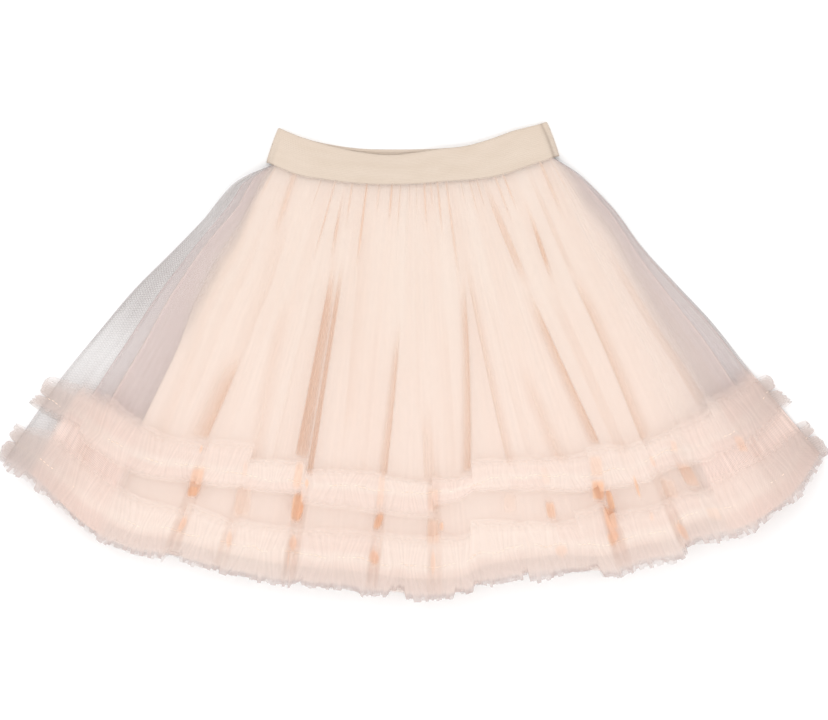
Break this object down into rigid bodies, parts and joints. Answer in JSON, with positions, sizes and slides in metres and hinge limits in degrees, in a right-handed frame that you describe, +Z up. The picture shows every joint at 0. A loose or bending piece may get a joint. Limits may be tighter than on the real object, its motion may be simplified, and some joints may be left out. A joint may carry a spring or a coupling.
{
  "type": "tulle skirt laid flat",
  "caption": "Child's layered tulle skirt with a wide elastic waistband and gathered ruffles near the hem, lying flat on its back",
  "frame": {"origin": "middle of the skirt's bounding box in plan, on the surface that it lies on", "axes": "+X across the skirt, to the right as seen from above with the waist at the top; +Y towards the waist; +Z up, away from the surface, out of the front"},
  "size_m": [0.7139, 0.411, 0.0339],
  "materials": {
    "tulle": "fine soft net, see-through, matt",
    "lining": "plain woven, matt",
    "elastic": "ribbed woven elastic, matt"
  },
  "bodies": {
    "root": {"outer_tulle_front": "tulle", "outer_tulle_back": "tulle", "second_tulle_front": "tulle", "second_tulle_back": "tulle", "third_tulle_front": "tulle", "third_tulle_back": "tulle", "lining_front": "lining", "lining_back": "lining", "upper_ruffle_front": "tulle", "upper_ruffle_back": "tulle", "lower_ruffle_front": "tulle", "lower_ruffle_back": "tulle", "waistband_front": "elastic", "waistband_back": "elastic"}
  },
  "joints": []
}
